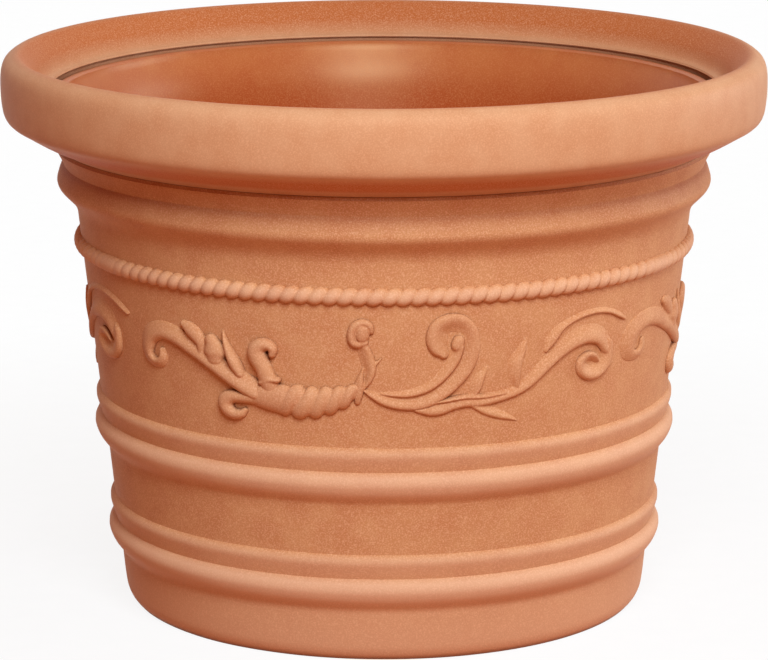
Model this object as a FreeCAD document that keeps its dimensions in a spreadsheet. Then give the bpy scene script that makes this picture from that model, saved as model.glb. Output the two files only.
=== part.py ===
import FreeCAD, Part
import math
import os
import Sketcher

# A large round plant pot: a banded shell, a hollow rolled rim, a drop-in planting liner,
# a rope moulding in three lengths and a festoon of applied sprigs, three times round the wall.
# Z is up, the floor is at zero and the front of the festoon faces -Y. All sizes are in millimetres.

sizes_and_notes = [
    ("foot_radius", 222.4, "radius that the tapering wall would have on the floor"),
    ("wall_taper", 0.1155, "outward lean of the wall per millimetre of height"),
    ("wall_thick", 6, "thickness of the shell and the rim"),
    ("foot_depth", 8, "recess under the floor, inside the foot ring"),
    ("foot_ring", 17, "width of the ring that stands on the floor"),
    ("foot_inset", 5, "how far the foot's edge stands in from the line of the wall"),
    ("foot_round", 11.5, "height of the rounding above the foot ring"),
    ("low_band_level", 39, "height of plain wall below the lower double band"),
    ("band_height", 58, "height of one double band"),
    ("band_gap", 31.5, "height of plain wall between the double bands"),
    ("bead_out", 8.2, "how far the bold bead of a double band stands out"),
    ("panel_height", 120, "height of the plain wall that carries the festoon"),
    ("rope_radius", 7, "radius of the rope moulding's section"),
    ("shoulder_gap", 23.5, "height of plain wall between the rope and the shoulder"),
    ("shoulder_height", 36, "height of the shoulder bead with its cove"),
    ("shoulder_out", 13.5, "how far the shoulder bead stands out"),
    ("neck_step", 7.6, "how far the neck's crease stands out from the line of the wall"),
    ("neck_height", 16, "height of the flared neck, up to the seat of the rim"),
    ("neck_flare", 5.9, "how far the neck flares out"),
    ("groove_width", 4.6, "width of the groove in the seat"),
    ("groove_depth", 4.4, "depth of the groove in the seat"),
    ("rim_height", 76, "height of the rim above its seat"),
    ("rim_overhang", 50.5, "how far the rim reaches out past the neck"),
    ("ledge_drop", 27, "from the top of the rim down to the ledge inside it"),
    ("ledge_out", 14.5, "how far outside the neck the ledge starts"),
    ("ledge_width", 5.5, "width of the ledge"),
    ("ledge_fall", 4, "slope of the ledge towards the liner"),
    ("liner_thick", 4, "thickness of the planting liner"),
    ("liner_gap", 2.2, "clearance round the liner"),
    ("liner_drop", 32, "from the top of the rim down to the liner's edge"),
    ("liner_flare", 104, "height of the liner's flared mouth"),
    ("pad_height", 10, "height of the liner's foot pads"),
    ("pad_radius", 15, "radius of one foot pad"),
    ("pad_ring", 155, "radius of the ring of foot pads"),
    ("drain_radius", 9, "radius of one drain hole"),
    ("drain_ring", 100, "radius of the ring of drain holes in the shell"),
    ("liner_drain_ring", 66, "radius of the ring of drain holes in the liner"),
    ("relief_height", 8.4, "how far the boldest sprig stands out from the wall"),
    ("seat_gap", 0.2, "glue line between pieces that sit on one another"),
]

rope_lengths = 3
pad_count = 6
drain_count = 6

doc = FreeCAD.newDocument("festooned_pot")
sheet = doc.addObject("Spreadsheet::Sheet", "sizes")
for row, (alias, value, note) in enumerate(sizes_and_notes, start=1):
    sheet.set(f"A{row}", note)
    sheet.set(f"B{row}", str(value))
    sheet.setAlias(f"B{row}", alias)
doc.recompute()


# Texts for expressions: the levels from the floor up, the radii, and the value of such a text

def value_of(text):
    return float(sheet.evalExpression(text))


low_band = "sizes.low_band_level"
high_band = f"{low_band} + sizes.band_height + sizes.band_gap"
panel_low = f"{high_band} + sizes.band_height"
rope_level = f"{panel_low} + sizes.panel_height + sizes.rope_radius"
shoulder_low = f"{rope_level} + sizes.rope_radius + sizes.shoulder_gap"
neck_level = f"{shoulder_low} + sizes.shoulder_height"
seat = f"{neck_level} + sizes.neck_height"
top = f"{seat} + sizes.rim_height"
floor_top = "sizes.foot_depth + sizes.wall_thick"
liner_floor = f"{floor_top} + sizes.pad_height"
liner_edge = f"{top} - sizes.liner_drop"
flare_low = f"{liner_edge} - sizes.liner_flare"


def wall(level):
    return f"sizes.foot_radius + sizes.wall_taper * ({level})"


neck = f"{wall(neck_level)} + sizes.neck_step"
ledge_edge = f"{neck} + sizes.ledge_out - sizes.ledge_width"


# Sketched outlines: corners joined by lines, or by arcs through a middle point

def origin_plane(body, role):
    return next(item for item in body.Origin.OriginFeatures if item.Role == role)


def attached_sketch(body, name, role):
    sketch = body.newObject("Sketcher::SketchObject", name)
    sketch.AttachmentSupport = (origin_plane(body, role), [""])
    sketch.MapMode = "FlatFace"
    return sketch


def pin_point(sketch, geometry, end, across, upward, name):
    for kind, axis, text, tail in (("DistanceX", -2, across, "across"), ("DistanceY", -1, upward, "up")):
        if text == "0":
            sketch.addConstraint(Sketcher.Constraint("PointOnObject", geometry, end, axis))
            continue
        index = sketch.addConstraint(Sketcher.Constraint(kind, -1, 1, geometry, end, value_of(text)))
        sketch.renameConstraint(index, f"{name}_{tail}")
        sketch.setExpression(f"Constraints.{name}_{tail}", text)


def vector(point):
    return FreeCAD.Vector(value_of(point[0]), value_of(point[1]), 0)


def outline_sketch(body, name, outline):
    # each entry is (corner,) for a line to that corner, or (middle, corner) for an arc
    sketch = attached_sketch(body, name, "XZ_Plane")
    start = outline[-1][-1]
    edges = []
    for steps in outline:
        end = steps[-1]
        if len(steps) == 1:
            edge = sketch.addGeometry(Part.LineSegment(vector(start), vector(end)))
        else:
            edge = sketch.addGeometry(Part.Arc(vector(start), vector(steps[0]), vector(end)))
        forward = sketch.getPoint(edge, 2).isEqual(vector(end), 1e-6)
        edges.append((edge, 2 if forward else 1))
        start = end
    for index, (edge, tail) in enumerate(edges):
        follower, follower_tail = edges[(index + 1) % len(edges)]
        sketch.addConstraint(Sketcher.Constraint("Coincident", edge, tail, follower, 3 - follower_tail))
    for index, steps in enumerate(outline):
        edge, tail = edges[index]
        pin_point(sketch, edge, tail, *steps[-1], f"corner_{index}")
        if len(steps) == 2:
            middle = sketch.addGeometry(Part.Point(vector(steps[0])), True)
            pin_point(sketch, middle, 1, *steps[0], f"middle_{index}")
            sketch.addConstraint(Sketcher.Constraint("PointOnObject", middle, 1, edge))
    return sketch


def turned_body(name, outline):
    body = doc.addObject("PartDesign::Body", name)
    body.Label = name
    sketch = outline_sketch(body, f"{name}_outline", outline)
    turned = body.newObject("PartDesign::Revolution", f"{name}_turned")
    turned.Profile = sketch
    turned.ReferenceAxis = (sketch, ["V_Axis"])
    turned.Angle = 360
    sketch.Visibility = False
    doc.recompute()
    return body


def circle_sketch(body, name, radius, reach, level):
    sketch = attached_sketch(body, name, "XY_Plane")
    sketch.setExpression("AttachmentOffset.Base.z", level)
    circle = Part.Circle(FreeCAD.Vector(value_of(reach), 0, 0), FreeCAD.Vector(0, 0, 1), value_of(radius))
    edge = sketch.addGeometry(circle)
    pin_point(sketch, edge, 3, reach, "0", "centre")
    index = sketch.addConstraint(Sketcher.Constraint("Radius", edge, value_of(radius)))
    sketch.renameConstraint(index, "radius")
    sketch.setExpression("Constraints.radius", radius)
    return sketch


def round_pattern(body, feature, count):
    pattern = body.newObject("PartDesign::PolarPattern", f"{feature.Name}_ring")
    pattern.Originals = [feature]
    pattern.Axis = (origin_plane(body, "Z_Axis"), [""])
    pattern.Angle = 360
    pattern.Occurrences = count
    body.Tip = pattern
    doc.recompute()


def drain_holes(body, level, reach):
    holes = body.newObject("PartDesign::Pocket", f"{body.Name}_drain")
    holes.Profile = circle_sketch(body, f"{body.Name}_drain_circle", "sizes.drain_radius", reach, level)
    holes.Type = "ThroughAll"
    holes.Midplane = True
    doc.recompute()
    round_pattern(body, holes, drain_count)


# The shell, with two double bands: a cove, a bold bead, a crease and a low ridge

def band(start):
    def at(rise, share):
        level = f"{start} + sizes.band_height * {rise}"
        return (f"{wall(level)} + sizes.bead_out * {share}", level)

    return [
        (at(0, 0),),
        (at(0.155, 0.3), at(0.267, 0.78)),
        (at(0.379, 1), at(0.5, 0.7)),
        (at(0.647, 0.38),),
        (at(0.816, 0.45), at(1, 0)),
    ]


def shoulder(rise, share):
    level = f"{shoulder_low} + sizes.shoulder_height * {rise}"
    return (f"{wall(level)} + sizes.shoulder_out * {share}", level)


seat_in = f"{neck} - sizes.wall_thick"
seat_out = f"{neck} + sizes.neck_flare"
groove_in = f"({seat_in} + {seat_out} - sizes.groove_width) / 2"
groove_out = f"({seat_in} + {seat_out} + sizes.groove_width) / 2"
groove_bottom = f"{seat} - sizes.groove_depth"
foot_out = "sizes.foot_radius - sizes.foot_inset"

shell_outline = [
    ((f"{foot_out} - sizes.foot_ring - sizes.foot_depth * 0.25", "sizes.foot_depth"),),
    ((f"{foot_out} - sizes.foot_ring", "0"),),
    ((foot_out, "0"),),
    (
        ("sizes.foot_radius - sizes.foot_inset * 0.28", "sizes.foot_round * 0.37"),
        (wall("sizes.foot_round"), "sizes.foot_round"),
    ),
    *band(low_band),
    *band(high_band),
    (shoulder(0, 0),),
    (shoulder(0.236, 0.26), shoulder(0.389, 0.72)),
    (shoulder(0.597, 1), shoulder(0.833, 0.76)),
    ((neck, neck_level),),
    ((seat_out, seat),),
    ((groove_out, seat),),
    ((groove_out, groove_bottom),),
    ((groove_in, groove_bottom),),
    ((groove_in, seat),),
    ((seat_in, seat),),
    ((f"{wall(shoulder_low)} - sizes.wall_thick", shoulder_low),),
    ((f"{wall(floor_top)} - sizes.wall_thick", floor_top),),
    (("0", floor_top),),
    (("0", "sizes.foot_depth"),),
]
outer_shell = turned_body("outer_shell", shell_outline)
drain_holes(outer_shell, floor_top, "sizes.drain_ring")


# The rim: a hollow rolled collar with a tongue that sits in the groove of the neck

def rim(reach, thick=0):
    return f"{neck} + sizes.rim_overhang * {reach} + sizes.wall_thick * {thick}"


def rim_up(rise, thick=0):
    return f"{seat} + sizes.rim_height * {rise} + sizes.wall_thick * {thick}"


rim_seat = f"{seat} + sizes.seat_gap"
rim_floor = f"{rim_seat} + sizes.wall_thick"
tongue_in = f"{groove_in} + sizes.seat_gap"
tongue_out = f"{groove_out} - sizes.seat_gap"
tongue_bottom = f"{groove_bottom} + sizes.seat_gap"
ledge = f"{top} - sizes.ledge_drop"
ledge_low = f"{ledge} - sizes.ledge_fall"
ledge_under = f"{ledge_low} - sizes.wall_thick"
ledge_back = f"{neck} + sizes.ledge_out"
crest = 0.723
slope_out = f"({ledge_back}) * 0.395 + ({rim(crest)}) * 0.605"
slope_up = f"{ledge} + sizes.ledge_drop * 0.696"

rim_outline = [
    ((tongue_in, rim_seat),),
    ((tongue_in, tongue_bottom),),
    ((tongue_out, tongue_bottom),),
    ((tongue_out, rim_seat),),
    ((seat_out, rim_seat),),
    ((rim(0.772), rim_up(0.257)),),
    ((rim(0.907), rim_up(0.318)), (rim(0.953), rim_up(0.401))),
    ((rim(1), rim_up(0.618)), (rim(0.982), rim_up(0.842))),
    ((rim(0.917), rim_up(0.942)), (rim(crest), top)),
    ((slope_out, slope_up), (ledge_back, ledge)),
    ((ledge_edge, ledge_low),),
    ((ledge_edge, ledge_under),),
    ((f"{ledge_edge} + sizes.wall_thick", ledge_under),),
    ((f"{ledge_back} + sizes.wall_thick * 0.78", f"{ledge} - sizes.wall_thick * 0.63"),),
    (
        (f"{slope_out} + sizes.wall_thick * 0.62", f"{slope_up} - sizes.wall_thick * 0.79"),
        (rim(crest), f"{top} - sizes.wall_thick"),
    ),
    ((rim(0.917, -0.75), rim_up(0.942, -0.66)), (rim(0.982, -1), rim_up(0.842))),
    ((rim(1, -1), rim_up(0.618)), (rim(0.953, -0.97), rim_up(0.401, 0.25))),
    ((rim(0.772, -0.5), rim_up(0.257, 0.87)),),
    ((f"{seat_out} - sizes.wall_thick * 0.27", rim_floor),),
    ((seat_in, rim_floor),),
    ((seat_in, rim_seat),),
]
rolled_rim = turned_body("rolled_rim", rim_outline)


# The liner: a thin bucket with a flared mouth, standing on small pads on the shell's floor

def liner(level):
    return f"{wall(level)} - sizes.wall_thick - sizes.liner_gap"


liner_mouth = f"{ledge_edge} - sizes.liner_gap"
flare_out = f"({liner(flare_low)}) * 0.649 + ({liner_mouth}) * 0.351"
flare_up = f"{liner_edge} - sizes.liner_flare / 2"
liner_bed = f"{liner_floor} + sizes.liner_thick"
liner_bend = "sizes.liner_thick * 2"
bend_up = f"{liner_floor} + {liner_bend}"
bend_bed = f"{liner_bed} + sizes.liner_thick"

liner_outline = [
    ((f"{liner(bend_up)} - {liner_bend}", liner_floor),),
    (
        (f"{liner(bend_up)} - {liner_bend} * 0.293", f"{liner_floor} + {liner_bend} * 0.293"),
        (liner(bend_up), bend_up),
    ),
    ((liner(flare_low), flare_low),),
    ((flare_out, flare_up), (liner_mouth, liner_edge)),
    ((f"{liner_mouth} - sizes.liner_thick", liner_edge),),
    ((f"{flare_out} - sizes.liner_thick", flare_up), (f"{liner(flare_low)} - sizes.liner_thick", flare_low)),
    ((f"{liner(bend_bed)} - sizes.liner_thick", bend_bed),),
    ((f"{liner(bend_bed)} - sizes.liner_thick * 2", liner_bed),),
    (("0", liner_bed),),
    (("0", liner_floor),),
]
inner_liner = turned_body("inner_liner", liner_outline)
pad = inner_liner.newObject("PartDesign::Pad", "foot_pad")
pad_bottom = f"{floor_top} + sizes.seat_gap"
pad.Profile = circle_sketch(inner_liner, "foot_pad_circle", "sizes.pad_radius", "sizes.pad_ring", pad_bottom)
pad.setExpression("Length", "sizes.pad_height - sizes.seat_gap")
doc.recompute()
round_pattern(inner_liner, pad, pad_count)
drain_holes(inner_liner, liner_floor, "sizes.liner_drain_ring")


# The wall's own cone, with the glue line added, shapes the back of everything that is set on it

wall_core = doc.addObject("Part::Cone", "wall_core")
wall_core.setExpression("Radius1", "sizes.foot_radius + sizes.seat_gap")
wall_core.setExpression("Radius2", f"{wall(top)} + sizes.seat_gap")
wall_core.setExpression("Height", top)


# The rope: a round bead in three lengths, set a little way into the line of the wall

rope_sink = 0.17
rope_centre = f"{wall(rope_level)} - sizes.rope_radius * {rope_sink}"
rope_sweep = 360 / rope_lengths
nodes = [outer_shell, rolled_rim, inner_liner]
for index in range(rope_lengths):
    bead = doc.addObject("Part::Torus", f"rope_bead_{index + 1}")
    bead.setExpression("Radius1", rope_centre)
    bead.setExpression("Radius2", "sizes.rope_radius")
    bead.setExpression("Angle3", f"{rope_sweep} - 180 / pi * sizes.seat_gap / ({rope_centre})")
    bead.setExpression("Placement.Base.z", rope_level)
    bead.Placement.Rotation = FreeCAD.Rotation(FreeCAD.Vector(0, 0, 1), 270 + rope_sweep * (index - 0.5))
    length = doc.addObject("Part::Cut", f"rope_length_{index + 1}")
    length.Base = bead
    length.Tool = wall_core
    nodes.append(length)
doc.recompute()


# The festoon: sprigs made of strokes that are laid on the wall, three times round it.
# A stroke is a row of (across, rise, half width, height), all in hundredths: across of the width
# of one repeat, rise and half width of the height of the panel, height of the height of the relief.
# The repeat at the front is the narrow one, and the other two share what is left of the wall.

drawn_aspect = 3.885
horn_ribs = 7
rib_swell = 0.12
section_facets = 5
repeats = [(-53, 106), (49, 129), (178, 129)]

scroll = [
    (7, 52.5, 2.9, 40), (6.6, 45.4, 3.8, 48), (4.4, 44.2, 4.2, 52), (3, 49.6, 5.4, 55),
    (2.9, 57.5, 6.5, 55), (4.7, 65, 6.7, 52), (7.6, 68.2, 6.3, 52), (11, 66, 6.2, 52),
    (14.4, 60, 5.7, 52), (18.1, 53.3, 5.8, 55), (21.9, 46.5, 5.7, 60), (25.9, 40, 4.6, 65),
]
oval_leaf = [(12.9, 76.2, 2.5, 40), (14.2, 73.2, 4.8, 60), (15.7, 69.3, 5, 62), (17.2, 60.8, 3.3, 55)]
round_leaf = [(18.5, 69.2, 2.9, 40), (19.2, 64.2, 7, 60), (19.5, 58.3, 7.7, 65), (20.2, 51.2, 5, 57)]
long_leaf = [
    (21.3, 75.8, 0.7, 19), (22.1, 66.2, 3.2, 52), (23.6, 56.7, 5.2, 64), (25.5, 48.8, 4.5, 67),
    (27.4, 42.9, 2.3, 57),
]
high_curl = [
    (29.5, 40.8, 5.8, 71), (29.2, 46.7, 5.5, 71), (28.4, 53.3, 4.8, 74), (27.2, 60.8, 4.9, 77),
    (27.6, 67.5, 4.7, 79), (29.2, 68.8, 3.8, 74), (30.3, 65, 2.9, 64), (30, 61.7, 2.1, 48),
]
low_curl = [
    (26.4, 30.4, 4.6, 65), (23.6, 30, 4, 71), (21.1, 27.8, 4.3, 76), (20.7, 22.5, 4.6, 76),
    (21.9, 17.9, 4, 71), (23.8, 17.9, 3.3, 64), (24.7, 20.4, 2.1, 40),
]
horn = [
    (25.5, 31.2, 5, 60), (27.8, 31.8, 8.5, 76), (30.7, 31.7, 10.7, 90), (33.5, 31, 11.2, 100),
    (37.3, 30.4, 10.8, 98), (41, 32.7, 8.8, 88), (44.6, 37.9, 5.8, 64),
]
clasp = [
    (45.3, 35.8, 2.5, 36), (45.5, 43.3, 2.8, 40), (45.8, 53.3, 2.7, 36), (46.5, 65, 2.5, 36),
    (47.5, 76.7, 3.3, 48), (46.8, 84.2, 4.2, 60), (45.3, 84.2, 4.2, 60), (44.5, 78.8, 3.8, 57),
    (45.4, 75, 2.5, 48),
]
sharp_leaf = [(45.9, 41.7, 2.1, 36), (47.2, 50, 2.9, 40), (47.7, 58.3, 3.5, 40), (47.3, 69.2, 1.7, 31)]
spiral = [
    (46.5, 40.6, 1.7, 29), (48, 36.9, 2.8, 38), (50.4, 32.9, 4, 43), (53.8, 30.3, 4.2, 43),
    (57.1, 31.7, 4.6, 43), (59.9, 37.5, 4.8, 43), (62.3, 45.8, 4.8, 43), (64.2, 55.8, 5.2, 45),
    (65, 66.7, 5.2, 48), (64.6, 77.5, 5.2, 50), (62.8, 85.3, 5.2, 50), (60.6, 85.2, 5.2, 52),
    (59.1, 78.3, 5.3, 55), (59.2, 70.8, 5.2, 52), (60.1, 64.6, 3, 43),
]
inner_strand = [
    (50.9, 35.7, 1.7, 26), (54.2, 36.7, 2.5, 33), (57.5, 40.3, 2.8, 38), (59.7, 46.7, 3.1, 40),
    (61.4, 55, 3.2, 43), (62.5, 64.2, 3.5, 48), (62.6, 72.5, 4.2, 57), (62.7, 76.7, 2.5, 40),
]
rising_stem = [
    (56.2, 26.5, 3, 36), (58.5, 26.7, 4.8, 45), (61.3, 28.8, 4.2, 40), (64.2, 30.8, 3.9, 38),
    (67.5, 30.8, 3.9, 38), (71.2, 32.7, 3.1, 38), (74.1, 36, 3.5, 40), (76.4, 41.5, 3.9, 43),
    (79.2, 51, 4.3, 45), (82.1, 59.6, 4.8, 48), (85.3, 66.2, 5.3, 50), (88.7, 67.8, 5.7, 50),
    (92, 62.9, 5.6, 50), (93.6, 53.3, 5.2, 48), (93, 43.8, 4.7, 48), (90.6, 39, 4.2, 48),
    (88.2, 40.7, 4.2, 50), (87.1, 47.1, 4, 55), (88, 52.5, 3.5, 50), (89.9, 50.4, 2.3, 38),
]
low_bud = [(65.7, 33.3, 2.5, 36), (66, 40, 3.9, 40), (66.7, 46.7, 3.5, 39), (67.9, 54.2, 0.7, 19)]
high_bud = [
    (73.8, 36.7, 2.2, 33), (73.2, 45.8, 4.2, 43), (73.3, 55, 4.8, 48), (74.2, 63.3, 3.2, 40),
    (75.3, 71.7, 0.7, 19),
]
tail_leaf = [(65.6, 28.3, 2.5, 33), (68.1, 23.8, 3.6, 36), (70.6, 20, 3.3, 33), (74.2, 14.2, 0.7, 19)]
arch = [
    (79.3, 61.7, 1.8, 29), (80, 67.5, 3.6, 38), (81.4, 73.3, 3, 37), (84, 79.6, 2.1, 32),
    (87.7, 83.2, 1.9, 29), (92, 82.5, 1.9, 29), (95.3, 78.1, 1.8, 29), (97.1, 74.7, 1.3, 24),
]

# Each sprig: its name, its strokes, and the earlier sprigs that it butts against and is trimmed by
sprigs = [
    ("horn", [horn], []),
    ("upper_curl", [high_curl], ["horn"]),
    ("lower_curl", [low_curl], ["horn"]),
    ("scroll_branch", [scroll, oval_leaf, round_leaf, long_leaf], ["horn", "upper_curl"]),
    ("clasp_bud", [clasp, sharp_leaf], ["horn"]),
    ("spiral_stem", [spiral, inner_strand], ["horn", "clasp_bud"]),
    ("leaf_branch", [rising_stem, low_bud, high_bud, tail_leaf], ["spiral_stem"]),
    ("arch_tendril", [arch], ["leaf_branch"]),
]

wall_slope = value_of("sizes.wall_taper")
panel_foot = value_of(panel_low)
panel_height = value_of("sizes.panel_height")
relief = value_of("sizes.relief_height")
glue_line = value_of("sizes.seat_gap")


def wall_frame(angle, level):
    # a point on the wall, with the directions round it, up it and out of it, and its radius
    turn = math.radians(angle)
    radius = value_of(wall(level))
    radial = FreeCAD.Vector(math.sin(turn), -math.cos(turn), 0)
    point = radial * radius + FreeCAD.Vector(0, 0, level)
    round_way = FreeCAD.Vector(math.cos(turn), math.sin(turn), 0)
    outward = (radial - FreeCAD.Vector(0, 0, wall_slope)).normalize()
    return point, round_way, outward.cross(round_way), outward, radius


def ease(low, high, share):
    return low + (high - low) * (1 - math.cos(math.pi * share)) / 2


def stroke_solid(stroke, repeat, ribs=0):
    # a loft through half-round sections that stand across a smooth path in the drawing of the repeat
    start, span = repeat
    marks = [FreeCAD.Vector(across / 100 * drawn_aspect, rise / 100, 0) for across, rise, _, _ in stroke]
    path = Part.BSplineCurve()
    path.interpolate(marks)
    knots = [path.parameter(mark) for mark in marks]
    legs = len(stroke) - 1
    steps = 2 * (ribs or legs)
    sections = []
    for index in range(steps + 1):
        place = index * legs / steps
        low = min(int(place), legs - 1)
        share = place - low
        spot = knots[low] + (knots[low + 1] - knots[low]) * share
        swell = 1 + rib_swell * (index % 2 if ribs else 0)
        width = ease(stroke[low][2], stroke[low + 1][2], share) / 100 * swell
        height = ease(stroke[low][3], stroke[low + 1][3], share) / 100 * swell * relief
        mark, heading = path.value(spot), path.tangent(spot)[0]
        level = panel_foot + mark.y * panel_height
        place_round = start + mark.x / drawn_aspect * span
        point, round_way, upward, outward, radius = wall_frame(place_round, level)
        stretch = radius * math.radians(span) / drawn_aspect
        side = (upward * heading.x * panel_height - round_way * heading.y * stretch) * width
        foot = point + outward * (glue_line + side.Length ** 2 / (2 * radius))
        crown = outward * (height - glue_line)
        turns = [math.pi * step / section_facets for step in range(section_facets + 1)]
        corners = [foot - side * math.cos(turn) + crown * math.sin(turn) for turn in turns]
        sections.append(Part.makePolygon(corners + corners[:1]))
    return Part.makeLoft(sections, True, True)


for count, repeat in enumerate(repeats, start=1):
    made = {}
    for name, strokes, neighbours in sprigs:
        solids = [stroke_solid(stroke, repeat, horn_ribs if name == "horn" else 0) for stroke in strokes]
        shape = solids[0].fuse(solids[1:]) if len(solids) > 1 else solids[0]
        made[name] = shape.cut([made[other] for other in neighbours]) if neighbours else shape
        sprig = doc.addObject("Part::Feature", f"{name}_{count}")
        sprig.Shape = made[name]
        nodes.append(sprig)


# Check every object and write one file per piece

doc.recompute()
for item in doc.Objects:
    if "Invalid" in item.State or "Error" in item.State:
        raise RuntimeError(f"{item.Name} did not build: {item.State}")
os.makedirs("parts", exist_ok=True)
for node in nodes:
    if node.Shape.isNull() or not node.Shape.isValid():
        raise RuntimeError(f"{node.Label} has no valid shape")
    print(node.Label, len(node.Shape.Solids), round(node.Shape.Volume))
    node.Shape.exportStep(f"parts/{node.Label}.step")
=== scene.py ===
import math

import bmesh
import bpy
import numpy as np
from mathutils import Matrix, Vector, noise


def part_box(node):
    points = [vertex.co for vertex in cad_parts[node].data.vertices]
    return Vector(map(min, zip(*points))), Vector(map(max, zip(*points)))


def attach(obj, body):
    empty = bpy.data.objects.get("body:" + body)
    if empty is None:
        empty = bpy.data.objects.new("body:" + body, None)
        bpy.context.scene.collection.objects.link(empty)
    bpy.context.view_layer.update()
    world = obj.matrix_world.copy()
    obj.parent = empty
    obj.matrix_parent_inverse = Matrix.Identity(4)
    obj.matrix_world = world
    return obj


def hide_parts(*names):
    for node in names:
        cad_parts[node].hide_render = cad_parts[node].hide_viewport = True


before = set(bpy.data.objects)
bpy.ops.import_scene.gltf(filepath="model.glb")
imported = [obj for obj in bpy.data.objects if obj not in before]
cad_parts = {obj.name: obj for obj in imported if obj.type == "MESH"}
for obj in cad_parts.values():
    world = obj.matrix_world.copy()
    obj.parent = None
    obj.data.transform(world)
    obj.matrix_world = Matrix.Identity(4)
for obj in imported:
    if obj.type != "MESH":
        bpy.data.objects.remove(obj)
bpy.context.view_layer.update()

# Outlines are written in millimetres. The scene and the frame are in metres.
mm = 0.001
tiny = 1e-6  # lengths below this count as nothing
bpy.context.scene.view_settings.view_transform = "Standard"

# Levels that the pieces share, read from the frame
ropeLow, ropeHigh = (corner[2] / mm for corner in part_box("rope_length_1"))
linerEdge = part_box("inner_liner")[1][2] / mm

wall = {
    "foot": 222.4,  # radius that the wall's line has on the floor
    "lean": 0.1155,  # outward lean per millimetre of height
    "thick": 6,
    "panelHeight": 120,  # from the rope down to the foot of the festoon's panel
    "wobble": 0.35,  # slow unevenness of a moulded wall
    "wobbleSize": 70,
    "sharpAngle": 38,  # edges that turn by more degrees than this are shaded crisp
}
panelFoot = ropeLow - wall["panelHeight"]


def wallRadius(level):
    return wall["foot"] + wall["lean"] * level


# Materials

def hexColour(text):
    # sRGB hex to linear
    parts = [int(text[at:at + 2], 16) / 255 for at in (1, 3, 5)]
    linear = [part / 12.92 if part <= 0.04045 else ((part + 0.055) / 1.055) ** 2.4 for part in parts]
    return (*linear, 1)


def emptyTree(owner):
    owner.use_nodes = True
    owner.node_tree.nodes.clear()
    return owner.node_tree


def addNode(tree, kind, settings=None, links=None):
    node = tree.nodes.new(kind)
    for name, value in (settings or {}).items():
        if isinstance(name, int) or name in node.inputs:
            node.inputs[name].default_value = value
        else:
            setattr(node, name, value)
    for name, socket in (links or {}).items():
        tree.links.new(socket, node.inputs[name])
    return node


# Terracotta-coloured polyethylene, rotation moulded: the powder leaves a sandy grain of pale specks and
# a dull satin surface, the colour drifts a little round the wall, painted shade darkens the creases and the
# wide hollow under the rim, and the raised edges are painted pale, partly rubbed wear and partly painted
# highlight
mouldedResin = {
    "body": "#cc9365",
    "warm": "#c5875b",
    "pale": "#e8b993",
    # pale of the raised bands and carvings: partly rubbed wear, partly a painted highlight on their crests
    "rubbedAndHighlit": "#edc5a6",
    # painted shade in narrow creases and round carved edges
    "creaseShade": "#6f2e14",
    # painted shade, deep red, in the wide hollow under the rim and at the neck
    "recessShade": "#8c280b",
    "low": "#d6a27d",  # dust splashed up from the ground
    "lowLevels": (100, 5),
    "innerShadeEdges": [],  # radii between which a piece takes an inner colour of painted shade
    "mottleSize": 24,
    "mottleRange": (0.35, 0.65),
    "grainSize": 1.2,  # powder of about half a millimetre, drawn coarser so that it shows
    "grainHeight": 0.1,
    "grainStrength": 0.6,
    "noiseDetail": 3,
    "speckle": 0.7,
    "speckRange": (0.45, 0.72),
    "roughness": (0.55, 0.68),
    "sheenRange": (0.3, 0.7),
    "specular": 0.12,
    "specularTint": "#ffeed6",
    "ior": 1.5,
    "hollowSamples": 6,
    "creaseSize": 7,  # hollows as narrow as a carved line
    # share of painted shade in the narrowest creases
    "creaseShadeShare": 0.7,
    "creaseRange": (0.12, 0.66),
    "recessSize": 75,  # hollows as wide as the neck under the rim
    # share of painted shade in the deepest part of the wide hollow
    "recessShadeShare": 0.95,
    "recessRange": (0.38, 0.86),
    "openRange": (0.5, 0.95),  # a narrow crease takes its own painted shade and not the wide hollow's painted shade
    "recessShadeFrom": (340, 385),  # levels over which the painted shade of the wide hollow under the rim comes in, none at the first, all at the second
    "proudRange": (1, 6),  # how far a band or a carving stands out of the wall where it is painted pale, as rubbed wear and painted highlight
    # share of that pale rub and painted highlight
    "rubAndHighlight": 0.42,
    # levels: none of the pale rub and painted highlight above the first, all of it below the second
    "rubAndHighlightBelow": (345, 325),
}
# The same resin inside the liner, in darker, redder colours that paint the shade inside the pot, darker
# still further down, and with a little gloss
insideResin = {
    **mouldedResin,
    "body": "#bf6d3b",
    "warm": "#b96233",
    "pale": "#cd8455",
    # painted shade deeper in the pot: none above the first level, all of it below the second
    "low": "#a93f10",
    "lowLevels": (434, 370),
    "speckle": 0.5,
    "roughness": (0.3, 0.4),
    "specular": 0.42,
    "specularTint": "#ffe2b0",
}
# On the sprigs painted shade gathers darker round every carved edge, and little pale rub and painted
# highlight is laid on
carvedResin = {
    **mouldedResin,
    "creaseShade": "#5e220e",
    "creaseSize": 10,
    "creaseShadeShare": 0.95,
    "creaseRange": (0.2, 0.74),
    "rubAndHighlight": 0.14,
}
# The rim is painted a little paler, for the light it catches, and is a little smoother. The flare inside
# it, between its crest and the ledge, takes a darker colour that paints the shade inside the pot
rimResin = {
    **mouldedResin,
    # paler than the wall: painted light on the rim
    "body": "#d09c74",
    "warm": "#cb936a",
    "pale": "#e3b08a",
    # deeper painted shade under the rim
    "recessShade": "#7c1400",
    "recessRange": (0.42, 0.82),
    # painted shade on the flare inside the rim
    "innerShade": "#bf6c3a",
    "innerShadeEdges": [(316, 306), (286, 294)],
    "speckle": 0.55,
    "roughness": (0.48, 0.6),
}


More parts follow.
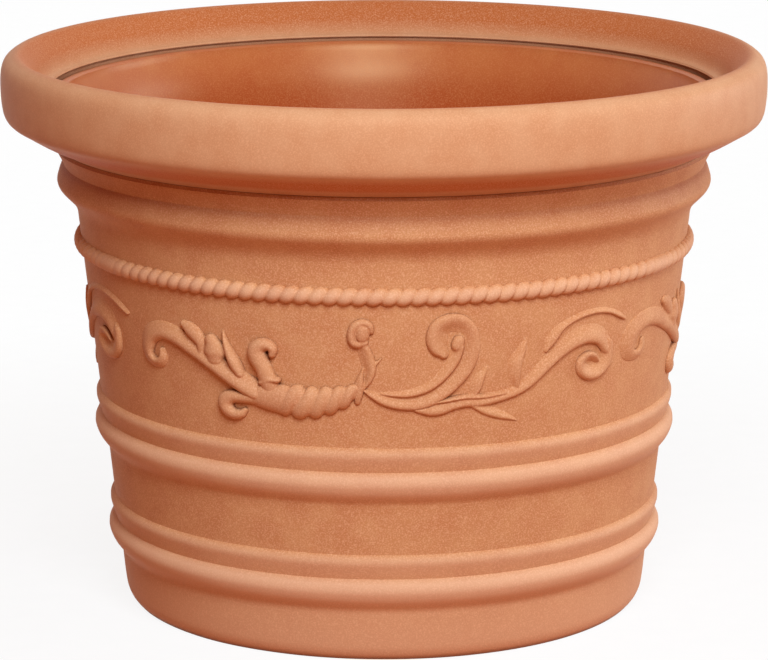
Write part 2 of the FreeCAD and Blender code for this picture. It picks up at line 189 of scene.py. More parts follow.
def mouldedResinMaterial(name, look):
    material = bpy.data.materials.new(name)
    tree = emptyTree(material)
    place = addNode(tree, "ShaderNodeTexCoord").outputs["Object"]
    mottle, grain = [
        addNode(tree, "ShaderNodeTexNoise", {"Scale": 1 / (look[size] * mm), "Detail": look["noiseDetail"]},
                {"Vector": place}).outputs["Fac"]
        for size in ("mottleSize", "grainSize")
    ]
    crease, recess = [
        addNode(tree, "ShaderNodeAmbientOcclusion",
                {"Distance": look[size] * mm, "samples": look["hollowSamples"]}).outputs["AO"]
        for size in ("creaseSize", "recessSize")
    ]
    # height over the floor, distance from the middle of the pot, and how far that is out of the wall's line
    level = addNode(tree, "ShaderNodeSeparateXYZ", {}, {0: place}).outputs["Z"]
    flat = addNode(tree, "ShaderNodeVectorMath", {"operation": "MULTIPLY", 1: (1, 1, 0)}, {0: place})
    away = addNode(tree, "ShaderNodeVectorMath", {"operation": "LENGTH"},
                   {0: flat.outputs[0]}).outputs["Value"]
    line = addNode(tree, "ShaderNodeMath",
                   {"operation": "MULTIPLY_ADD", 1: wall["lean"], 2: wall["foot"] * mm}, {0: level})
    proud = addNode(tree, "ShaderNodeMath", {"operation": "SUBTRACT"},
                    {0: away, 1: line.outputs[0]}).outputs[0]

    # colours laid over one another, each through masks of a value, its limits and the shares at these
    layers = {
        "body": [(mottle, look["mottleRange"], (0, 1))],
        # dust near the foot outside; inside the liner, painted shade deeper down
        "low": [(level, look["lowLevels"], (0, 1))],
        # painted shade on the flare inside the rim
        "innerShade": [(away, edge, (0, 1)) for edge in look["innerShadeEdges"]],
        "pale": [(grain, look["speckRange"], (0, look["speckle"]))],
        # pale of raised parts: rubbed wear and painted highlight
        "rubbedAndHighlit": [(proud, look["proudRange"], (0, look["rubAndHighlight"])), (level, look["rubAndHighlightBelow"], (0, 1))],
        # painted shade in the wide hollow under the rim
        "recessShade": [
            (recess, look["recessRange"], (look["recessShadeShare"], 0)),
            (crease, look["openRange"], (0, 1)),
            (level, look["recessShadeFrom"], (0, 1)),
        ],
        # painted shade in narrow creases
        "creaseShade": [(crease, look["creaseRange"], (look["creaseShadeShare"], 0))],
    }
    mixLinks = {}  # socket 0 takes the share, socket 6 the colour so far, which starts as the warm one
    for tint, masks in layers.items():
        if not masks:
            continue
        shares = []
        for value, (start, end), (startShare, endShare) in masks:
            unit = mm if value in (level, away, proud) else 1
            limits = {"From Min": start * unit, "From Max": end * unit,
                      "To Min": startShare, "To Max": endShare}
            shares.append(addNode(tree, "ShaderNodeMapRange", limits, {"Value": value}).outputs[0])
        while len(shares) > 1:
            pair = {0: shares.pop(), 1: shares.pop()}
            shares.append(addNode(tree, "ShaderNodeMath", {"operation": "MULTIPLY"}, pair).outputs[0])
        mixLinks[0] = shares[0]
        colours = {"data_type": "RGBA", 6: hexColour(look["warm"]), 7: hexColour(look[tint])}
        mixLinks[6] = addNode(tree, "ShaderNodeMix", colours, mixLinks).outputs[2]

    low, high = look["sheenRange"]
    smooth, rough = look["roughness"]
    limits = {"From Min": low, "From Max": high, "To Min": smooth, "To Max": rough}
    sheen = addNode(tree, "ShaderNodeMapRange", limits, {"Value": grain})
    grit = {"Strength": look["grainStrength"], "Distance": look["grainHeight"] * mm}
    relief = addNode(tree, "ShaderNodeBump", grit, {"Height": grain})
    gloss = {"IOR": look["ior"], "Specular IOR Level": look["specular"],
             "Specular Tint": hexColour(look["specularTint"])}
    coat = {"Base Color": mixLinks[6], "Roughness": sheen.outputs[0], "Normal": relief.outputs[0]}
    surface = addNode(tree, "ShaderNodeBsdfPrincipled", gloss, coat)
    addNode(tree, "ShaderNodeOutputMaterial", {}, {"Surface": surface.outputs[0]})
    return material


potResin = mouldedResinMaterial("rotomoulded terracotta polyethylene", mouldedResin)
sprigResin = mouldedResinMaterial("rotomoulded terracotta polyethylene, carved", carvedResin)
# the liner's colours paint the shade inside the pot
linerResin = mouldedResinMaterial("rotomoulded terracotta polyethylene, painted shade inside", insideResin)
rolledResin = mouldedResinMaterial("rotomoulded terracotta polyethylene, rolled rim", rimResin)


# Shared mesh work

straightStretch = 4  # straight legs of an outline need points less often than curves


def curveThrough(points, spacing, closed=False):
    # a smooth line through the points; it breaks at those that end in "corner"
    sharp = [point[-1] == "corner" for point in points]
    spots = [Vector(point[:-1] if corner else point) for point, corner in zip(points, sharp)]
    count = len(spots)

    def leg(first, second):
        return max((Vector(second[:2]) - Vector(first[:2])).length, tiny)

    line = []
    for index in range(count if closed else count - 1):
        here, there = spots[index], spots[(index + 1) % count]
        before = None if sharp[index] or (index == 0 and not closed) else spots[index - 1]
        last = index == count - 2 and not closed
        after = None if sharp[(index + 1) % count] or last else spots[(index + 2) % count]
        run = leg(here, there)
        leave = there - here if before is None else (there - before) * run / (leg(before, here) + run)
        reach = there - here if after is None else (after - here) * run / (run + leg(there, after))
        straight = before is None and after is None
        steps = max(1, round(run / (spacing * straightStretch if straight else spacing)))
        for step in range(steps):
            along = step / steps
            square, cube = along ** 2, along ** 3
            line.append(here * (2 * cube - 3 * square + 1) + leave * (cube - 2 * square + along)
                        + there * (3 * square - 2 * cube) + reach * (cube - square))
    if not closed:
        line.append(spots[-1])
    return line


def placed(name, data):
    thing = bpy.data.objects.new(name, data)
    bpy.context.collection.objects.link(thing)
    return thing


def meshObject(name, vertices, faces):
    mesh = bpy.data.meshes.new(name)
    mesh.from_pydata(vertices, [], faces)
    work = bmesh.new()
    work.from_mesh(mesh)
    bmesh.ops.recalc_face_normals(work, faces=work.faces)
    work.to_mesh(mesh)
    work.free()
    return placed(name, mesh)


def shadeSmooth(mesh, sharpAngle):
    mesh.polygons.foreach_set("use_smooth", [True] * len(mesh.polygons))
    mesh.set_sharp_from_angle(angle=math.radians(sharpAngle))


def dressPiece(piece, material, body, node, sharpAngle=wall["sharpAngle"]):
    piece.data.materials.clear()
    piece.data.materials.append(material)
    shadeSmooth(piece.data, sharpAngle)
    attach(piece, body)
    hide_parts(node)


def wobbled(point):
    # the slow unevenness of the wall, the same for every piece that touches it
    spot = Vector(point) / wall["wobbleSize"]
    grow = 1 + wall["wobble"] * noise.noise(spot) / math.hypot(point[0], point[1])
    return Vector((point[0] * grow, point[1] * grow, point[2]))


def turned(outline, spacing=2.4, segments=320):
    # spins a closed outline of (radius, level) round the middle of the pot
    ring = curveThrough(outline, spacing, closed=True)
    vertices, columns = [], []
    for radius, level in ring:
        if radius < tiny:
            columns.append([len(vertices)] * segments)
            vertices.append(Vector((0, 0, level)) * mm)
            continue
        columns.append(list(range(len(vertices), len(vertices) + segments)))
        for step in range(segments):
            turn = 2 * math.pi * step / segments
            vertices.append(wobbled((radius * math.cos(turn), radius * math.sin(turn), level)) * mm)
    faces = []
    for index, column in enumerate(columns):
        following = columns[(index + 1) % len(columns)]
        for step in range(segments):
            ahead = (step + 1) % segments
            corners = list(dict.fromkeys([column[step], column[ahead], following[ahead], following[step]]))
            if len(corners) > 2:
                faces.append(corners)
    return vertices, faces


pegs = {
    "count": 6,
    "sides": 48,
    "overshoot": 2,  # how far a peg that cuts a hole stands out of both faces
}


def roundPegs(name, radius, ring, low, high):
    # a ring of round pegs, for the drain holes and the foot pads
    sides = pegs["sides"]
    vertices, faces = [], []
    for peg in range(pegs["count"]):
        middle = 2 * math.pi * peg / pegs["count"]
        start = len(vertices)
        for level in (low, high):
            for step in range(sides):
                turn = 2 * math.pi * step / sides
                vertices.append(Vector((ring * math.cos(middle) + radius * math.cos(turn),
                                        ring * math.sin(middle) + radius * math.sin(turn), level)) * mm)
        faces.append([start + step for step in reversed(range(sides))])
        faces.append([start + sides + step for step in range(sides)])
        for step in range(sides):
            ahead = (step + 1) % sides
            faces.append([start + step, start + ahead, start + sides + ahead, start + sides + step])
    return meshObject(name, vertices, faces)


def bakeModifiers(piece):
    shaped = piece.evaluated_get(bpy.context.evaluated_depsgraph_get())
    mesh = bpy.data.meshes.new_from_object(shaped)
    piece.modifiers.clear()
    piece.data = mesh
    shadeSmooth(mesh, wall["sharpAngle"])


def joinPegs(piece, pegRing, operation):
    step = piece.modifiers.new(operation, "BOOLEAN")
    step.operation = operation
    step.object = pegRing
    bakeModifiers(piece)
    bpy.data.objects.remove(pegRing)


def drainHoles(piece, radius, ring, low, high):
    cut = roundPegs("drainCut", radius, ring, low - pegs["overshoot"], high + pegs["overshoot"])
    joinPegs(piece, cut, "DIFFERENCE")


# The shell: a foot ring, two double bands, the plain panel, a shoulder bead and a flared neck
shell = {
    "foot": [(198.4, 8, "corner"), (200.4, 0, "corner"), (217.4, 0, "corner"), (221, 4.3), (223.7, 11.5)],
    # bands and shoulder in rows of (rise over their level, reach out of the wall's line)
    "bandLevels": (37, 129),
    "band": [
        (6, 0, "corner"), (8.5, 0.7), (12.5, 3.4), (17.5, 6.7), (21.5, 8.2), (25, 8.8), (28, 8.3),
        (31, 6.5), (33.5, 4.3), (35.5, 2.1, "corner"), (42, 3.3), (48.6, 4.6), (51.6, 4.3), (54.2, 2.4),
        (56, 0.3, "corner"),
    ],
    "shoulderLevel": 340,
    "shoulder": [
        (-1, -0.3, "corner"), (4, 0.8), (9.5, 3.8), (15, 8.5), (20, 12.5), (24.6, 13.6), (31, 11.4),
        (36.4, 8.9), (39.5, 6.4, "corner"),
    ],
    "neck": [(274.6, 384.5), (278.8, 393.4), (277.4, 396, "corner")],
    "groove": [(276.1, 396, "corner"), (276.1, 391.6, "corner"), (271.5, 391.6, "corner"),
               (271.5, 396, "corner"), (267.9, 396, "corner")],
    "floor": (8, 14),
    "drainRadius": 9,
    "drainRing": 100,
}


def standingOut(rows, start):
    # rows of (rise, out) set on the wall's line, from a start level
    return [(wallRadius(start + row[0]) + row[1], start + row[0], *row[2:]) for row in rows]


low, high = shell["floor"]
inside = wallRadius(shell["shoulderLevel"]) - wall["thick"]
shellOutline = [
    *shell["foot"],
    *[point for level in shell["bandLevels"] for point in standingOut(shell["band"], level)],
    *standingOut(shell["shoulder"], shell["shoulderLevel"]),
    *shell["neck"],
    *shell["groove"],
    (inside, shell["shoulderLevel"], "corner"),
    (wallRadius(high) - wall["thick"], high, "corner"),
    (0, high, "corner"),
    (0, low, "corner"),
]
potShell = meshObject("potShell", *turned(shellOutline))
dressPiece(potShell, potResin, "pot", "outer_shell")
drainHoles(potShell, shell["drainRadius"], shell["drainRing"], low, high)
print("shell turned", len(potShell.data.polygons))


# The rim: a hollow rolled collar with a tongue below. A ledge inside it ends just outside the liner's edge
rim = {
    "outline": [
        (277.4, 396.2, "corner"), (281.5, 398.6), (296.5, 405.3), (313.4, 415), (319.9, 419.3),
        (322.7, 426.4), (324.2, 443), (323.4, 459.5), (319.8, 467.4), (310.5, 472), (302.5, 466.6),
        (294.6, 457.5), (289.2, 447.4), (286.4, 444.8), (283.6, 443.8), (282.9, 442.2),
        (283.6, 441, "corner"), (285, 440.8, "corner"), (285, 434, "corner"), (290, 434, "corner"),
        (294.6, 441), (298.5, 452), (306, 461.5), (310.5, 466), (315.5, 463.5), (317.5, 459), (318.2, 443),
        (316.2, 428), (309, 420.5), (278.5, 402.2, "corner"), (268, 402.2, "corner"),
        (268, 396.2, "corner"), (271.7, 396.2, "corner"), (271.7, 391.8, "corner"),
        (275.9, 391.8, "corner"), (275.9, 396.2, "corner"),
    ],
}
potRim = meshObject("potRim", *turned(rim["outline"]))
dressPiece(potRim, rolledResin, "pot", "rolled_rim")
print("rim turned", len(potRim.data.polygons))


# The liner: a thin bucket with a flared mouth, on six foot pads
liner = {
    "spacing": 4,
    "thick": 4,
    "gap": 2.2,  # between liner and shell
    "floor": 24,
    "bend": 8,
    "bendBow": 0.29,  # share of the bend that its round corner cuts off
    "flareLevel": 336,
    "flare": ((263, 388), (268.6, 411)),
    "drop": 1.5,  # how far the edge is set down, which leaves a dark line under the rim's ledge
    "mouth": 280.8,
    "lipBead": [(0.6, 0), (-1.6, -1.6), (-2, -4, "corner")],  # out and up from the mouth's inner edge
    "padRadius": 15,
    "padRing": 155,
    "padLevels": (14.2, 25),
    "drainRadius": 9,
    "drainRing": 66,
}


def linerRadius(level):
    return wallRadius(level) - wall["thick"] - liner["gap"]


thick = liner["thick"]
bed = liner["floor"] + thick
bend = liner["bend"]
bendTop = liner["floor"] + bend
bow = bend * liner["bendBow"]
flareFoot = linerRadius(liner["flareLevel"])
lip = linerEdge - liner["drop"]
linerOutline = [
    (linerRadius(bendTop) - bend, liner["floor"], "corner"),
    (linerRadius(bendTop) - bow, liner["floor"] + bow),
    (linerRadius(bendTop), bendTop, "corner"),
    (flareFoot, liner["flareLevel"]),
    *liner["flare"],
    (liner["mouth"], lip, "corner"),
    *[(liner["mouth"] - thick + row[0], lip + row[1], *row[2:]) for row in liner["lipBead"]],
    *[(radius - thick, level) for radius, level in reversed(liner["flare"])],
    (flareFoot - thick, liner["flareLevel"]),
    (linerRadius(bed + thick) - thick, bed + thick, "corner"),
    (linerRadius(bed + thick) - thick * 2, bed, "corner"),
    (0, bed, "corner"),
    (0, liner["floor"], "corner"),
]
potLiner = meshObject("potLiner", *turned(linerOutline, liner["spacing"]))
dressPiece(potLiner, linerResin, "liner", "inner_liner")
footPads = roundPegs("footPads", liner["padRadius"], liner["padRing"], *liner["padLevels"])
joinPegs(potLiner, footPads, "UNION")
drainHoles(potLiner, liner["drainRadius"], liner["drainRing"], liner["floor"], bed)
print("liner turned", len(potLiner.data.polygons))


# The rope: a half-round bead in three lengths, laid in leaning strands that fade towards the joints
rope = {
    "lengths": 3,
    "gap": 0.1,  # between two lengths
    "strands": 46,  # in one length
    "depth": 0.3,
    "fullness": 0.6,  # the smaller, the fuller a strand and the narrower its grooves
    "lean": 0.2,  # strands that the lay moves on over one radian of the section
    "fade": 3,  # strands that fade out at each end
    "sink": 0.17,  # share of the radius that is set into the wall's line
    "sag": 0.8,  # how much fuller it is on the lower side than the plain bead
    "arc": 110,  # degrees of the section to each side of its front
    "sharpAngle": 70,
    "stepsPerStrand": 12,
    "sectionSteps": 18,
}


def ropeLength(number):
    radius = (ropeHigh - ropeLow) / 2 + rope["sag"]
    level = ropeHigh - radius
    middle = wallRadius(level) - radius * rope["sink"]
    share = 360 / rope["lengths"]
    sweep = math.radians(share) - rope["gap"] / middle
    start = math.radians(share * (number - 1)) - sweep / 2
    steps = rope["strands"] * rope["stepsPerStrand"]
    section = rope["sectionSteps"] + 1
    vertices, faces = [], []
    for step in range(steps + 1):
        along = step / steps * rope["strands"]
        turn = start + sweep * step / steps
        fade = min(along, rope["strands"] - along, rope["fade"]) / rope["fade"]
        for corner in range(section):
            lift = math.radians(rope["arc"]) * (2 * corner / rope["sectionSteps"] - 1)
            lobe = abs(math.sin(math.pi * (along - rope["lean"] * lift))) ** rope["fullness"]
            tube = radius * (1 - rope["depth"] * (1 - lobe) * fade)
            reach = middle + tube * math.cos(lift)
            vertices.append(wobbled((reach * math.sin(turn), -reach * math.cos(turn),
                                     level + tube * math.sin(lift))) * mm)
    for step in range(steps):
        base = step * section
        for corner in range(section):
            ahead = (corner + 1) % section
            faces.append([base + corner, base + ahead, base + section + ahead, base + section + corner])
    faces.append(list(reversed(range(section))))
    faces.append(list(range(steps * section, (steps + 1) * section)))
    return vertices, faces


for number in range(1, rope["lengths"] + 1):
    length = meshObject(f"ropeLength_{number}", *ropeLength(number))
    dressPiece(length, potResin, "pot", f"rope_length_{number}", rope["sharpAngle"])
print("rope laid")


# The festoon: strokes of (degrees, rise, half width, height), modelled flat for the repeat at the front,
# melted into one skin for each sprig, then bent onto the wall three times. The first number of a stroke
# is how far its left side, as it runs, fades into the wall. The right side is always crisp.
festoon = {
    # start and width of each repeat, in degrees, and the tallest relief it keeps
    "repeats": ((-53, 106, 9), (49, 129, 5), (178, 129, 5)),
    "degree": 4.4,  # millimetres of wall to a degree, as drawn
    "root": 2.5,  # how deep a sprig goes into the wall
    "pathStep": 1.2,
    "sectionSteps": 20,
    "fadeStart": -0.5,  # where the fading side starts, from -1 at the crisp edge to 1
    "endTurns": (25, 50, 70, 84),  # degrees of the sections that round off an end
    "endFall": 0.7,  # the smaller, the longer an end keeps its height
    "voxel": 0.7,
    "smoothing": 3,
    "smoothFactor": 0.5,
    "sharpAngle": 60,
}
sprigs = {
    "horn": {
        "throat": (0, [(-26.2, 37.5, 5.5, 5), (-24.2, 38.5, 9.2, 6), (-22, 38.4, 11.6, 7),
                       (-18.8, 37.5, 12.8, 7.4)]),
        "ribs": (0, [(-19, 37.4, 13.6, 7.6), (-17.4, 37.1, 14.8, 8.6), (-14.3, 36, 14.6, 8.8),
                     (-10, 38.8, 12.2, 8), (-7.6, 42, 10, 7), (-5.3, 46.2, 7.4, 5.8)]),
    },
    "upper_curl": {
        "curl": (0, [(-21.4, 48, 8.5, 6.6), (-22, 56, 8, 7.4), (-22.5, 63, 7.6, 8), (-23.3, 70, 8.4, 8.4),
                     (-23.6, 76, 8.6, 8.4), (-22.8, 81, 6.8, 8), (-21.4, 82.4, 5.2, 7.4),
                     (-20.4, 79.2, 4, 6.6), (-20.6, 75, 3.4, 5.8)]),
        "collar": (0, [(-23, 50.5, 2.6, 6.4), (-21.2, 53.4, 3, 7.6), (-19.8, 53.6, 3, 7.2)]),
    },
    "lower_curl": {
        "curl": (0, [(-24, 37, 6.5, 5.5), (-26.8, 36, 5.4, 5.8), (-29.3, 35.4, 6, 6.2),
                     (-30.8, 31, 7.4, 6.8), (-30.6, 25, 6.8, 6.8), (-29.2, 21, 5.4, 6.2),
                     (-27.6, 21.8, 4.2, 5.6), (-26.8, 25, 2.6, 4)]),
    },
    "scroll_branch": {
        "scroll": (0.6, [(-45.7, 63.5, 3.4, 3.4), (-45.6, 58, 4.6, 4.2), (-46.5, 53.4, 4.8, 4.6),
                         (-48.2, 52.6, 5, 4.8), (-49.7, 57, 7.2, 5), (-50, 66, 8.8, 5),
                         (-48.6, 76, 9, 4.8), (-45.3, 81.6, 8, 4.8), (-41.6, 79.6, 8, 5),
                         (-38, 72.8, 7.6, 5.2), (-34, 64.5, 7.8, 6), (-30, 55.6, 8.6, 7.2),
                         (-26.8, 48.6, 9.4, 8), (-24.2, 43, 9, 7.6)]),
        "ovalLeaf": (0.2, [(-39.2, 91, 3.8, 4), (-37.9, 87.8, 6.2, 5.4), (-36.4, 83.2, 6.6, 5.8),
                           (-35.4, 77.5, 5.4, 5.4), (-35.4, 70.5, 4.4, 4.8)]),
        "roundLeaf": (0, [(-33, 79.5, 7, 6), (-32.7, 76, 9.4, 7), (-32.5, 71, 10.6, 7.6),
                          (-32.5, 67, 8.6, 6.8)]),
        "longLeaf": (0, [(-30.5, 91, 0.7, 2), (-30, 81, 2.6, 4.8), (-29.4, 74, 4, 6.2),
                         (-28.7, 67.5, 5.2, 7.4), (-27.9, 61.5, 5.4, 7.6), (-27.2, 56, 4.4, 7)]),
    },
    "clasp_bud": {
        "slimLeaf": (0.3, [(-4.9, 38.5, 3, 3.6), (-4.8, 44, 4.4, 4.4), (-4.6, 51, 4.4, 4.4),
                           (-4.3, 58, 3, 3.6), (-3.9, 65.5, 0.8, 2)]),
        "wideLeaf": (0.9, [(-3.8, 49.5, 1.8, 2.6), (-2.9, 57, 3.6, 3.4), (-2.6, 65, 5.4, 3.8),
                           (-3, 73, 6.2, 3.8), (-3.6, 81, 5.6, 3.6), (-4.1, 87, 4.6, 3)]),
        "tick": (0.3, [(-2, 68.5, 2, 2.8), (-1, 72.5, 1.2, 2.2), (-0.4, 75.3, 0.6, 1.4)]),
        "knobBand": (0, [(-2.2, 97, 2, 3.4), (-2.5, 102, 3, 4.6), (-3.7, 104.6, 3.4, 5),
                         (-5.1, 101.8, 3.8, 5.4), (-5.8, 95.5, 3.8, 5.4), (-5.7, 89, 3.6, 5.2),
                         (-4.8, 86.4, 3.4, 4.8), (-3.4, 88, 3, 4.2)]),
        "knobBall": (0, [(-3.9, 93.5, 5.8, 6), (-3.8, 98, 5.8, 6)]),
    },
    "spiral_stem": {
        "band": (0.92, [(-3.8, 49, 1.6, 2.4), (-2.2, 44.6, 3.2, 3.4), (0.2, 39.8, 5, 4),
                        (3.4, 36.6, 5.6, 4), (7, 37.4, 6, 4), (10.2, 44, 6.4, 4), (12.8, 53.5, 6.6, 4),
                        (14.8, 65, 7.2, 4), (15.8, 78, 7.6, 4), (15.6, 91, 7.8, 4), (14.3, 100.5, 7.8, 4),
                        (12.2, 103.6, 8, 4.2), (10.1, 99.5, 8.4, 4.6), (9.5, 91, 9, 5),
                        (9.9, 83.5, 8, 4.8), (10.8, 78.5, 5, 4)]),
        "strand": (0.92, [(-0.6, 45.6, 1.2, 1.8), (2, 44.8, 2.6, 2.8), (5, 45.6, 3.6, 3.2),
                          (8, 50.2, 4.2, 3.6), (10.2, 57.6, 4.6, 3.8), (11.9, 66.5, 5, 4),
                          (13, 75.5, 5.2, 4.2), (13.4, 83, 5.2, 4.8)]),
        "strandBall": (0, [(13.3, 84.5, 5.4, 5.2), (13.5, 88, 5.2, 5.2)]),
    },
    "leaf_branch": {
        "stem": (0.92, [(6.2, 32.2, 3.6, 3), (8.4, 32, 6.4, 4), (10.4, 32.6, 6.6, 4),
                        (12.6, 35.2, 5.8, 3.8), (15, 37, 5.6, 3.6), (18, 36.9, 5.6, 3.6),
                        (20.5, 38, 5.2, 3.6), (23, 39.8, 4.6, 3.6), (25.5, 43.4, 5, 3.8),
                        (28, 50, 5.6, 4), (31, 61.4, 6.2, 4.2), (34, 71.6, 7, 4.2), (37.2, 79, 8, 4.2),
                        (40.5, 81.6, 8.4, 4.2), (43.8, 77.6, 8, 4), (46, 67.5, 7, 3.8)]),
        "roundScroll": (0.85, [(43.4, 57.5, 2.6, 3.4), (42.3, 61, 4, 4), (40.8, 62, 5, 4.4),
                               (39.6, 58, 6, 4.6), (40, 52, 6.4, 4.6), (41.9, 47.8, 6.6, 4.6),
                               (44.2, 49, 6.8, 4.4), (45.8, 56, 7, 4.2), (46, 67.5, 7, 3.8)]),
        "ridge": (0.5, [(9, 37, 1.4, 3.6), (11.5, 38.8, 2, 4.4), (15, 40.8, 2.2, 4.4),
                        (18.5, 40.2, 2, 4.2), (22.8, 41.6, 1.4, 3.6)]),
        "lowBud": (0.92, [(16.4, 41, 3, 3), (17, 48, 5.2, 3.6), (17.6, 55, 4.8, 3.6),
                          (18.5, 61, 2.6, 2.8), (19.1, 66, 0.8, 1.6)]),
        "highBud": (0.92, [(25.1, 46, 2.6, 3), (24.6, 56, 5.6, 3.8), (24.6, 66, 6.6, 4.2),
                           (25.6, 75, 4.2, 3.6), (26.7, 86, 1, 1.8)]),
        "tailLeaf": (0.92, [(16.4, 34.4, 3, 2.8), (19.2, 28.6, 4.6, 3), (21.8, 24.2, 4.4, 2.8),
                            (24, 20.5, 2.8, 2.2), (25.7, 17, 0.8, 1.6)]),
    },
    "arch_tendril": {
        "arch": (0.85, [(30.9, 73.5, 2, 2.6), (31.6, 80, 4.8, 3.4), (32.8, 86.5, 4.6, 3.4),
                        (34.2, 91.6, 3.4, 3), (36.2, 95.8, 2.8, 2.8), (39.5, 99.4, 2.6, 2.6),
                        (43, 100, 2.6, 2.6), (46.4, 97, 2.6, 2.6), (49, 92, 2.6, 2.6),
                        (50.6, 88.4, 2, 2.2)]),
    },
}
ribs = {
    "count": 5,
    "depth": 0.3,
    "fullness": 0.6,
    "slant": 0.1,
    "crowding": 0.15,  # how much closer they stand towards the tail
}


def ribSwell(share, side):
    # ribs that grow closer towards the tail of the horn and lean a little across it
    place = min(max(share - ribs["slant"] * side, 0), 1)
    crowded = (1 - ribs["crowding"]) * place + ribs["crowding"] * place ** 2
    lobe = abs(math.sin(math.pi * ribs["count"] * crowded))
    return 1 - ribs["depth"] * (1 - lobe ** ribs["fullness"])


def reliefShape(across, fade):
    # height over a stroke, from its crisp right edge at -1 to its left edge at 1
    domed = math.sqrt(max(1 - across ** 2, 0))
    start = festoon["fadeStart"]
    if across > start:
        faded = math.cos(math.pi / 2 * (across - start) / (1 - start)) ** 2
    else:
        faded = math.sqrt(max(1 - ((start - across) / (1 + start)) ** 2, 0))
    return domed + (faded - domed) * fade


def roundedEnd(section, direction):
    # sections that carry a stroke on, ever narrower and lower, past its first or last one
    middle, heading, width, height, share = section
    turns = [math.radians(angle) for angle in festoon["endTurns"]]
    return [(middle + heading * width * math.sin(turn) * direction, heading, width * math.cos(turn),
             height * math.cos(turn) ** festoon["endFall"], share) for turn in turns]


def strokeSkin(stroke, fade, ribbed, vertices, faces):
    # a closed band along the stroke, with rounded ends and a root
    rows = [(angle * festoon["degree"], rise, width, height) for angle, rise, width, height in stroke]
    path = curveThrough(rows, festoon["pathStep"])
    sections = []
    for index, spot in enumerate(path):
        ahead, behind = path[min(index + 1, len(path) - 1)], path[max(index - 1, 0)]
        heading = (Vector(ahead[:2]) - Vector(behind[:2])).normalized()
        sections.append((Vector(spot[:2]), heading, spot[2], spot[3], index / (len(path) - 1)))
    sections = [*reversed(roundedEnd(sections[0], -1)), *sections, *roundedEnd(sections[-1], 1)]
    steps = festoon["sectionSteps"]
    first = len(vertices)
    for middle, heading, width, height, share in sections:
        left = Vector((-heading.y, heading.x))
        for step in range(steps + 1):
            across = math.cos(math.pi * step / steps)
            swell = ribSwell(share, across) if ribbed else 1
            spot = middle + left * width * across * swell
            vertices.append(Vector((spot.x, spot.y, height * reliefShape(across, fade) * swell)) * mm)
        for edge in (-1, 1):
            spot = middle + left * width * edge
            vertices.append(Vector((spot.x, spot.y, -festoon["root"])) * mm)
    ring = steps + 3  # the points across the stroke and the two of its root
    for row in range(len(sections) - 1):
        base = first + row * ring
        for corner in range(ring):
            ahead = (corner + 1) % ring
            faces.append([base + corner, base + ahead, base + ring + ahead, base + ring + corner])
    faces.append(list(reversed(range(first, first + ring))))
    faces.append(list(range(first + (len(sections) - 1) * ring, first + len(sections) * ring)))


def meltedSprig(name, strokes):
    vertices, faces = [], []
    for stroke, (fade, path) in strokes.items():
        strokeSkin(path, fade, stroke == "ribs", vertices, faces)
    flat = meshObject(name, vertices, faces)
    melt = flat.modifiers.new("melt", "REMESH")
    melt.mode = "VOXEL"
    melt.voxel_size = festoon["voxel"] * mm
    smooth = flat.modifiers.new("smooth", "SMOOTH")
    smooth.factor = festoon["smoothFactor"]
    smooth.iterations = festoon["smoothing"]
    bakeModifiers(flat)
    return flat


def bentOnWall(points, repeat):
    # points of the flat drawing, in millimetres, to places round the pot
    start, width, tallest = repeat
    frontStart, frontWidth = festoon["repeats"][0][:2]
    turn = np.radians(start + (points[:, 0] / festoon["degree"] - frontStart) * width / frontWidth)
    level = panelFoot + points[:, 1]
    share = min(1, tallest / points[:, 2].max())
    reach = wallRadius(level) + points[:, 2] * share
    bent = np.stack([reach * np.sin(turn), -reach * np.cos(turn), level], axis=1)
    return np.array([wobbled(point) for point in bent])


for sprig, strokes in sprigs.items():
    flat = meltedSprig(f"flat_{sprig}", strokes)
    points = np.empty(len(flat.data.vertices) * 3)
    flat.data.vertices.foreach_get("co", points)
    points = points.reshape(-1, 3) / mm
    for number, repeat in enumerate(festoon["repeats"], start=1):
        mesh = flat.data.copy()
        mesh.vertices.foreach_set("co", (bentOnWall(points, repeat) * mm).ravel())
        mesh.update()
        piece = placed(f"{sprig}Sprig_{number}", mesh)
        dressPiece(piece, sprigResin, "pot", f"{sprig}_{number}", festoon["sharpAngle"])
    print("sprig modelled", sprig, len(flat.data.polygons))
    bpy.data.objects.remove(flat)


# The stage: a floor and a sky that are white to the camera, a soft box high at the front, another low at
# the right, and a faint warm light from floor and sky
stage = {
    "floorHalf": 14,
    "paper": ("#fdfdfd", "#ffffff"),
    "fibreSize": 25,  # clouds of pulp, drawn coarse enough to show
    "floorShade": 0.1,  # share of the floor's white that a shadow can take away, close to the pot
    "shadeReach": (0.35, 1.1),  # metres from the pot's middle over which that share fades out
    "floorBounce": "#cb8a66",  # what the floor sends back to the pot
    "backdrop": "#ffffff",
    "sky": 0.3,
    "skyColour": "#ff9f66",
    "aim": (0, 0, 0.25),
    # degrees right of the front, degrees above the floor, metres from the aim, metres across, watts
    "lamps": {"soft key": (8, 38.5, 2.5, 1.15, 60), "side fill": (105, 10, 2.5, 1.4, 34)},
    "lampColour": "#e9f7ff",
}


def backdropRays(tree):
    # 1 for the camera and for what shows in shiny or clear surfaces, 0 for the light that reaches the pot
    rays = addNode(tree, "ShaderNodeLightPath").outputs
    seen = rays["Is Camera Ray"]
    for kind in ("Is Glossy Ray", "Is Transmission Ray"):
        pair = {0: seen, 1: rays[kind]}
        seen = addNode(tree, "ShaderNodeMath", {"operation": "MAXIMUM"}, pair).outputs[0]
    return seen


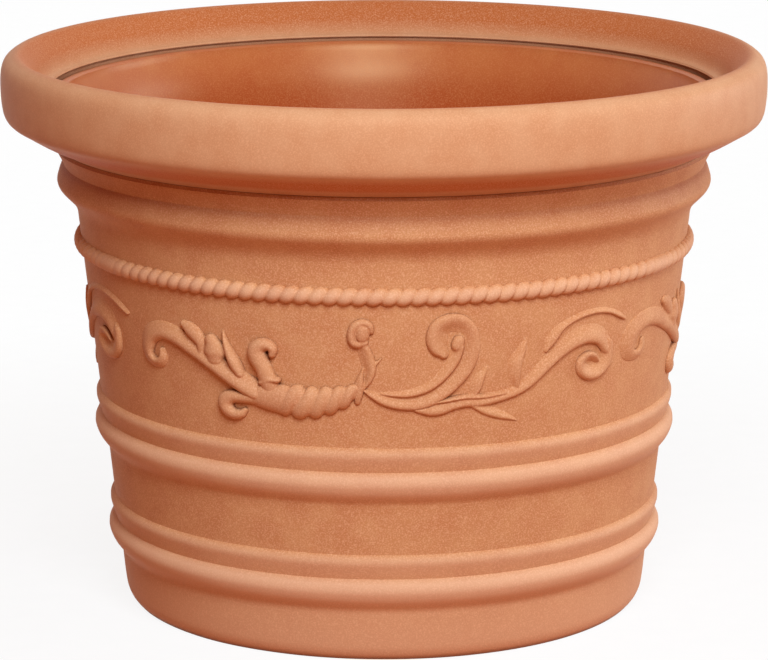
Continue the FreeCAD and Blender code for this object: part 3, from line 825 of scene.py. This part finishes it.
# Matt white paper, uncoated: an even white with a trace of cloudy pulp
def paleFloor():
    material = bpy.data.materials.new("matt white paper")
    tree = emptyTree(material)
    seen = backdropRays(tree)
    place = addNode(tree, "ShaderNodeTexCoord").outputs["Object"]
    fibre = addNode(tree, "ShaderNodeTexNoise", {"Scale": 1 / (stage["fibreSize"] * mm)}, {"Vector": place})
    dull, clean = [hexColour(colour) for colour in stage["paper"]]
    paper = addNode(tree, "ShaderNodeMix", {"data_type": "RGBA", 6: dull, 7: clean},
                    {0: fibre.outputs["Fac"]})
    away = addNode(tree, "ShaderNodeVectorMath", {"operation": "LENGTH"}, {0: place})
    near, far = stage["shadeReach"]
    fading = {"From Min": near, "From Max": far, "To Min": stage["floorShade"], "To Max": 0}
    shade = addNode(tree, "ShaderNodeMapRange", fading, {"Value": away.outputs["Value"]})
    bounce = addNode(tree, "ShaderNodeBsdfDiffuse", {"Color": hexColour(stage["floorBounce"])})
    shaded = addNode(tree, "ShaderNodeBsdfDiffuse", {}, {"Color": paper.outputs[2]})
    bright = addNode(tree, "ShaderNodeEmission", {}, {"Color": paper.outputs[2]})
    white = addNode(tree, "ShaderNodeMixShader", {},
                    {0: shade.outputs[0], 1: bright.outputs[0], 2: shaded.outputs[0]})
    both = addNode(tree, "ShaderNodeMixShader", {}, {0: seen, 1: bounce.outputs[0], 2: white.outputs[0]})
    addNode(tree, "ShaderNodeOutputMaterial", {}, {"Surface": both.outputs[0]})
    half = stage["floorHalf"]
    mesh = bpy.data.meshes.new("floor")
    corners = [(-half, -half, 0), (half, -half, 0), (half, half, 0), (-half, half, 0)]
    mesh.from_pydata(corners, [], [(0, 1, 2, 3)])
    mesh.materials.append(material)
    floor = placed("floor", mesh)


def paleSky():
    world = bpy.data.worlds.new("pale sky")
    tree = emptyTree(world)
    seen = backdropRays(tree)
    colours = {"data_type": "RGBA", 6: hexColour(stage["skyColour"]), 7: hexColour(stage["backdrop"])}
    colour = addNode(tree, "ShaderNodeMix", colours, {0: seen})
    strength = addNode(tree, "ShaderNodeMapRange", {"To Min": stage["sky"], "To Max": 1}, {"Value": seen})
    light = addNode(tree, "ShaderNodeBackground", {},
                    {"Color": colour.outputs[2], "Strength": strength.outputs[0]})
    addNode(tree, "ShaderNodeOutputWorld", {}, {"Surface": light.outputs[0]})
    bpy.context.scene.world = world


def softBox(name, right, above, distance, width, watts):
    lamp = bpy.data.lights.new(name, "AREA")
    lamp.shape = "DISK"
    lamp.size = width
    lamp.energy = watts
    lamp.color = hexColour(stage["lampColour"])[:3]
    light = placed(name, lamp)
    right, above = math.radians(right), math.radians(above)
    level = math.cos(above)
    source = Vector((math.sin(right) * level, -math.cos(right) * level, math.sin(above)))
    light.location = Vector(stage["aim"]) + source * distance
    light.rotation_euler = (-source).to_track_quat("-Z", "Y").to_euler()


camera = {
    "place": (0, -3.2909, 0.9614),
    "tilt": 77.44,  # degrees up from straight down
    "lens": 183.49,
    "sensor": 36,
    "clipEnd": 60,
}


def photoCamera():
    lens = bpy.data.cameras.new("camera")
    lens.lens = camera["lens"]
    lens.sensor_width = camera["sensor"]
    lens.clip_end = camera["clipEnd"]
    view = placed("camera", lens)
    view.location = camera["place"]
    view.rotation_euler = (math.radians(camera["tilt"]), 0, 0)
    bpy.context.scene.camera = view


paleFloor()
paleSky()
for name, values in stage["lamps"].items():
    softBox(name, *values)
photoCamera()
print("stage set")
